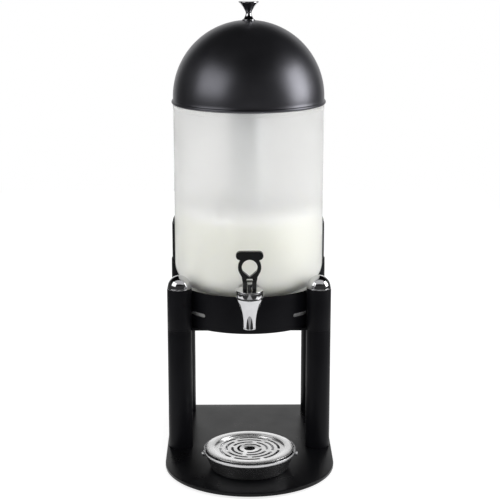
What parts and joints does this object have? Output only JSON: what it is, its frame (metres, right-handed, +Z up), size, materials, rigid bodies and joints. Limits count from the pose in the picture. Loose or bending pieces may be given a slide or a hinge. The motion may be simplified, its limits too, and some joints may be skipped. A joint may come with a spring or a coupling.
{
  "type": "juice dispenser",
  "caption": "Countertop juice dispenser: frosted round container with ice tube and domed lid on a stand of round posts, with a lever tap in front and a drip tray on the base.",
  "frame": {"origin": "on the surface it stands on, under the middle of its outline", "axes": "+Z up, -Y towards the user in front of the tap, +X to the user's right"},
  "size_m": [0.222, 0.339, 0.601],
  "materials": {
    "black_coat": "satin",
    "chrome": "polished",
    "brushed_steel": "brushed",
    "bright_steel": "turned",
    "frosted_plastic": "frosted",
    "black_plastic": "satin",
    "silicone": "matte",
    "foot_rubber": "matte"
  },
  "bodies": {
    "stand": {"base_plate": "black_coat", "base_feet": "foot_rubber", "tie_rods": "bright_steel", "post_plugs": "black_plastic", "front_left_leg": "black_coat", "front_right_leg": "black_coat", "rear_left_leg": "black_coat", "rear_right_leg": "black_coat", "carrier_plate": "black_coat", "front_left_sleeve": "black_coat", "front_right_sleeve": "black_coat", "rear_left_sleeve": "black_coat", "rear_right_sleeve": "black_coat", "rear_left_extension": "black_coat", "rear_right_extension": "black_coat", "rear_collars": "black_coat", "front_left_cap": "chrome", "front_right_cap": "chrome", "rear_left_cap": "chrome", "rear_right_cap": "chrome", "ring_band": "black_coat", "support_drum": "brushed_steel", "drum_screws": "bright_steel", "seat_pad": "silicone"},
    "container": {"container": "frosted_plastic", "tube_socket": "frosted_plastic", "tap_body": "chrome", "tap_bonnet": "chrome", "shank_nut": "chrome", "outer_washer": "silicone", "inner_washer": "silicone"},
    "lid": {"lid": "black_coat", "lid_gasket": "silicone", "lid_knob": "chrome", "knob_screw": "bright_steel", "knob_washer": "bright_steel"},
    "ice_tube": {"ice_tube": "brushed_steel"},
    "ice_tube_cap": {"ice_tube_cap": "black_plastic"},
    "valve": {"valve_stem": "bright_steel", "seat_cup": "silicone"},
    "lever": {"tap_lever": "black_plastic", "lever_pin": "bright_steel"},
    "drip_tray": {"drip_tray": "brushed_steel"},
    "drip_grate": {"drip_grate": "brushed_steel"}
  },
  "joints": [
    {"name": "container_lift", "type": "slide", "parent": "stand", "child": "container", "axis": [0, 0, 1], "range_m": [0, 0.12]},
    {"name": "lid_lift", "type": "slide", "parent": "container", "child": "lid", "axis": [0, 0, 1], "range_m": [0, 0.15]},
    {"name": "ice_tube_lift", "type": "slide", "parent": "container", "child": "ice_tube", "axis": [0, 0, 1], "range_m": [0, 0.05]},
    {"name": "ice_cap_lift", "type": "slide", "parent": "ice_tube", "child": "ice_tube_cap", "axis": [0, 0, 1], "range_m": [0, 0.03]},
    {"name": "valve_lift", "type": "slide", "parent": "container", "child": "valve", "axis": [0, 0, 1], "range_m": [0, 0.00351]},
    {"name": "lever_tilt", "type": "hinge", "parent": "valve", "child": "lever", "pos_m": [0, -0.0795, 0.25197], "axis": [1, 0, 0], "range_deg": [0, 35], "stiffness_Nm_per_rad": 0.06, "springref_deg": -14.32},
    {"name": "drip_tray_lift", "type": "slide", "parent": "stand", "child": "drip_tray", "axis": [0, 0, 1], "range_m": [0, 0.08]},
    {"name": "grate_lift", "type": "slide", "parent": "drip_tray", "child": "drip_grate", "axis": [0, 0, 1], "range_m": [0, 0.05]}
  ],
  "couplings": [
    {"joint": "valve_lift", "follows": "lever_tilt", "m_per_rad": 0.00573}
  ]
}
